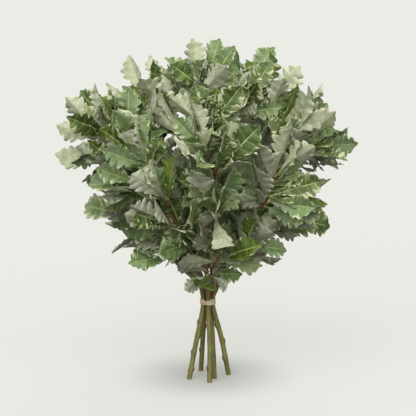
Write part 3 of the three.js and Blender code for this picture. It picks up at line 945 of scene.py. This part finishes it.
def bark_material(props):
    """Young oak bark: smooth, olive below the tie, browner above, red-brown at scars."""
    # Grain 1.4 mm across and eight times as long, streaks of 13 mm and patches of 24 mm.
    material, tree, place, grain, broad, patches = new_material(
        "smooth_young_oak_bark", (700.0, 4.0, 0.6, (1, 1, 0.12)),
        (75.0, 3.0, 0.55, (1, 1, 0.35)), (42.0, 4.0, 0.65, (1, 1, 0.4)),
    )
    height = node(tree, "SeparateXYZ", {0: place}, 2)
    climb = node(tree, "Math", {0: broad, 1: 0.05, 2: height}, operation="MULTIPLY_ADD")
    scar = node(tree, "Attribute", out="Fac", attribute_name="scar")
    scar = node(tree, "Math", {0: grain, 1: 0.3, 2: scar}, operation="MULTIPLY_ADD")
    colour = coats(
        tree, props.bark_olive,
        (broad, 0.35, 0.65, 1.0, props.bark_green),
        (grain, 0.46, 0.66, 1.0, props.bark_dull),
        (patches, 0.5, 0.62, 0.65, props.bark_dull),
        (climb, 0.16, 0.2, 1.0, props.twig_brown),
        (scar, 0.3, 0.75, 0.8, props.scar_red),
        (height, 0.004, 0.0, 1.0, props.cut_wood),
    )
    surface(tree, colour, 0.62, grain, 0.4, 0.7, IOR=1.45)
    return material


def rubber_material(props):
    """Natural rubber band: tan, slightly translucent, with a soft satin skin."""
    # Paler stretches of 8 mm, and a skin with specks of about 1 mm.
    material, tree, _, fine, broad = new_material(
        "natural_rubber_band", (900.0, 3.0, 0.55), (120.0, 2.0, 0.55)
    )
    colour = coats(tree, props.band_tan, (broad, 0.35, 0.65, 1.0, props.band_pale))
    surface(tree, colour, 0.5, fine, 0.12, 0.5, Subsurface_Weight=0.15, IOR=1.5)
    return material


def floor_material(props):
    """Opal glass of a light table: matt, lit from below, with a painted shadow that dims its
    glow round the bunch's feet.
    """
    # A faint grain of 3 mm.
    material, tree, place, fine = new_material(
        "opal_glass_light_table", (300.0, 2.0, 0.55)
    )
    low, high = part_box(BAND_NODE)
    axis = (-(low[0] + high[0]) / 2, -(low[1] + high[1]) / 2, 0)
    from_axis = node(tree, "Mapping", {"Vector": place, "Location": axis})
    reach = node(tree, "VectorMath", {0: from_axis}, "Value", operation="LENGTH")
    # Painted shadow: the glow fades to the dimmer colour towards the bunch's axis.
    glow = coats(tree, props.floor_glow, (reach, PAINTED_SHADOW_REACH, 0.0, 1.0, props.floor_painted_shadow))
    surface(
        tree, props.floor_colour, 1.0, fine, 0.05, 0.1,
        Specular_IOR_Level=0.0, Emission_Color=glow, Emission_Strength=1.0,
    )
    return material


# ---- Properties ------------------------------------------------------------------


def colour_text(name, description, default):
    return bpy.props.StringProperty(name=name, description=description, default=default)


class FoliageProps(bpy.types.PropertyGroup):
    deep_green: colour_text("Deep green", "Darkest green of the upper side", "#42561C")
    mid_green: colour_text("Mid green", "Middle green of the upper side", "#6C8542")
    grey_green: colour_text("Grey green", "Waxy bloom of the upper side", "#8BA075")
    bright_green: colour_text("Bright green", "Green of the plain leaves", "#4C6612")
    lime_green: colour_text("Lime green", "Lit green of the plain leaves", "#768B3A")
    cream: colour_text("Cream", "Variegation", "#DCDDB2")
    pale_vein: colour_text("Pale vein", "Veins of the upper side", "#B6BF80")
    silver: colour_text("Silver", "Felt of the under side", "#CCD1B8")
    green_silver: colour_text("Green silver", "Greener felt", "#B7BF9A")
    # Painted shade: the felt's silver as it looks in shade, laid on in patches.
    shaded_silver_paint: colour_text("Dusky silver", "Silver with painted shade", "#A2A584")
    felt_vein: colour_text("Felt vein", "Veins of the under side", "#8E9474")
    tan_stalk: colour_text("Tan stalk", "Stalks and lower midribs", "#B79A5A")
    twig_red: colour_text("Twig red", "Sunlit young bark", "#8E543B")
    twig_brown: colour_text("Twig brown", "Shaded young bark", "#6B4B33")


class BarkProps(bpy.types.PropertyGroup):
    bark_olive: colour_text("Olive bark", "Lit bark of the stems", "#85813C")
    bark_green: colour_text("Green bark", "Greener bark of the stems", "#6C7030")
    bark_dull: colour_text("Dull bark", "Grey-brown grain", "#5F5334")
    scar_red: colour_text("Scar red", "Leaf scars and buds", "#6C4630")
    twig_brown: colour_text("Upper bark", "Bark above the tie", "#866A4A")
    cut_wood: colour_text("Cut wood", "Cut ends", "#A58A52")
    bud_length: bpy.props.FloatProperty(
        name="Bud length", description="Length of the buds at the nodes",
        default=4.5 * MM, unit="LENGTH")


class BandProps(bpy.types.PropertyGroup):
    band_tan: colour_text("Band tan", "Rubber in the shade", "#E6C39B")
    band_pale: colour_text("Band pale", "Stretched rubber", "#F2DAB8")
    strand_width: bpy.props.FloatProperty(
        name="Strand width", description="Height of one turn of the band",
        default=3.5 * MM, unit="LENGTH")


class StageProps(bpy.types.PropertyGroup):
    floor_colour: colour_text("Floor", "Opal glass under the bunch", "#7F807B")
    backdrop: colour_text("Backdrop", "What is seen past the glass", "#EAEBE5")
    floor_glow: colour_text("Floor glow", "Light through the glass", "#C2C3BE")
    # Painted shadow: the glass's glow under the bunch's feet, dimmed to stand in for its
    # shade.
    floor_painted_shadow: colour_text("Dim glow", "Light through the glass at the feet", "#8B8C88")
    camera_distance: bpy.props.FloatProperty(
        name="Camera distance", description="From the bunch's axis", default=2.6,
        unit="LENGTH")
    camera_elevation: bpy.props.FloatProperty(
        name="Camera elevation", description="Above the horizontal",
        default=math.radians(9), subtype="ANGLE")
    key_strength: bpy.props.FloatProperty(
        name="Key light", description="Strength of the soft overhead light", default=1.2)
    fill_strength: bpy.props.FloatProperty(
        name="Fill light", description="Strength of the soft front light", default=2.6)
    sky_strength: bpy.props.FloatProperty(
        name="Sky light", description="Strength of the surrounding light", default=0.11)


# ---- Operators -------------------------------------------------------------------


class OAK_OT_stage(bpy.types.Operator):
    """Adds the floor, the sky, the lights and the camera"""

    bl_idname = "oak.stage"
    bl_label = "Stage"

    def execute(self, context):
        props = context.scene.oak_stage
        bm = bmesh.new()
        bmesh.ops.create_grid(bm, x_segments=4, y_segments=4, size=FLOOR_SIZE)
        floor = finish_object(bm, "floor", [floor_material(props)])
        floor.visible_diffuse = False
        self.add_sky(context, props)
        self.add_lights(context, props)
        self.add_camera(context, props)
        context.scene.view_settings.view_transform = "Standard"
        return {"FINISHED"}

    def add_sky(self, context, props):
        """A dim sky that is seen as a pale backdrop."""
        world = bpy.data.worlds.new("soft_daylight")
        context.scene.world = world
        world.use_nodes = True
        tree = world.node_tree
        tree.nodes.clear()
        seen = node(tree, "Background", {"Color": props.backdrop, "Strength": 1.0})
        dim = node(tree, "Background", {"Strength": props.sky_strength})
        by_camera = node(tree, "LightPath", out="Is Camera Ray")
        sky = node(tree, "MixShader", {0: by_camera, 1: dim, 2: seen})
        node(tree, "OutputWorld", {"Surface": sky})

    def add_lights(self, context, props):
        """Broad, soft lights: each is its strength, its spread in degrees and its side."""
        fill = props.fill_strength
        for name, strength, spread, towards in (
            ("overhead_key", props.key_strength, 70, (0.0, -0.2, 1.0)),
            ("front_left_fill", fill, 60, (-0.4, -1.0, 0.75)),
            ("front_right_fill", 0.4 * fill, 60, (0.8, -1.0, 0.7)),
            ("back_fill", 0.5 * fill, 60, (0.3, 1.0, 0.9)),
        ):
            sun = bpy.data.lights.new(name, "SUN")
            sun.energy = strength
            sun.angle = math.radians(spread)
            lamp = bpy.data.objects.new(name, sun)
            lamp.rotation_euler = Vector(towards).to_track_quat("Z", "Y").to_euler()
            context.scene.collection.objects.link(lamp)

    def add_camera(self, context, props):
        """A long lens a little above the bunch, aimed at its axis."""
        low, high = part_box(BAND_NODE)
        tilt, distance = props.camera_elevation, props.camera_distance
        aim = Vector(((low[0] + high[0]) / 2, (low[1] + high[1]) / 2, VIEW_MIDDLE))
        lens = bpy.data.cameras.new("camera")
        lens.sensor_width = SENSOR
        lens.lens = SENSOR * distance / VIEW_WIDTH
        camera = bpy.data.objects.new("camera", lens)
        away = Vector((0, -math.cos(tilt), math.sin(tilt)))
        camera.location = aim + away * distance
        camera.rotation_euler = away.to_track_quat("Z", "Y").to_euler()
        context.scene.collection.objects.link(camera)
        context.scene.camera = camera


class OAK_OT_shoots(bpy.types.Operator):
    """Adds the leaves, stalks and twigs of every shoot, and the stems' own leaves"""

    bl_idname = "oak.shoots"
    bl_label = "Leafy Shoots"

    def execute(self, context):
        props = context.scene.oak_foliage
        materials = [
            leaf_top_material(props), leaf_under_material(props),
            twig_material(props), rib_material(props),
        ]
        if not SHOOT_NODES:
            raise RuntimeError("The frame has no shoots")
        for name in SHOOT_NODES:
            make_shoot(name, materials)
        for name in STEM_NODES:
            make_stem_leaves(name, materials)
        return {"FINISHED"}


class OAK_OT_stems(bpy.types.Operator):
    """Adds the bark of the main stems, with their buds and scars"""

    bl_idname = "oak.stems"
    bl_label = "Stems"

    def execute(self, context):
        props = context.scene.oak_bark
        if not STEM_NODES:
            raise RuntimeError("The frame has no stems")
        bark = bark_material(props)
        for name in STEM_NODES:
            make_stem(name, bark, props.bud_length)
        return {"FINISHED"}


class OAK_OT_band(bpy.types.Operator):
    """Adds the rubber band's turns round the stems"""

    bl_idname = "oak.band"
    bl_label = "Rubber Band"

    def execute(self, context):
        props = context.scene.oak_band
        width = props.strand_width
        points, firsts = band_route(width)
        bm = bmesh.new()
        bm.loops.layers.uv.verify()
        tube(
            bm, points, [width / 2] * len(points), BAND_SIDES, firsts=firsts,
            shape=strand_section,
        )
        bmesh.ops.recalc_face_normals(bm, faces=bm.faces)
        piece = finish_object(bm, "rubber_band_turns", [rubber_material(props)])
        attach(piece, "root")
        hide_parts(BAND_NODE)
        return {"FINISHED"}


class OAK_PT_panel(bpy.types.Panel):
    bl_label = "Oak Foliage"
    bl_idname = "OAK_PT_panel"
    bl_space_type = "VIEW_3D"
    bl_region_type = "UI"
    bl_category = "Oak Foliage"

    def draw(self, context):
        for operator in OPERATORS:
            self.layout.operator(operator.bl_idname)
        for group in GROUPS:
            settings = getattr(context.scene, group)
            for name in settings.bl_rna.properties.keys():
                if name not in ("rna_type", "name"):
                    self.layout.prop(settings, name)


GROUPS = {
    "oak_stage": StageProps,
    "oak_bark": BarkProps,
    "oak_band": BandProps,
    "oak_foliage": FoliageProps,
}
OPERATORS = (OAK_OT_stage, OAK_OT_stems, OAK_OT_band, OAK_OT_shoots)


def register():
    for cls in (*GROUPS.values(), *OPERATORS, OAK_PT_panel):
        bpy.utils.register_class(cls)
    for name, cls in GROUPS.items():
        setattr(bpy.types.Scene, name, bpy.props.PointerProperty(type=cls))


def unregister():
    for name in GROUPS:
        delattr(bpy.types.Scene, name)
    for cls in reversed((*GROUPS.values(), *OPERATORS, OAK_PT_panel)):
        bpy.utils.unregister_class(cls)


def main():
    register()
    bpy.ops.oak.stage()
    bpy.ops.oak.stems()
    bpy.ops.oak.band()
    bpy.ops.oak.shoots()


if __name__ == "__main__":
    main()
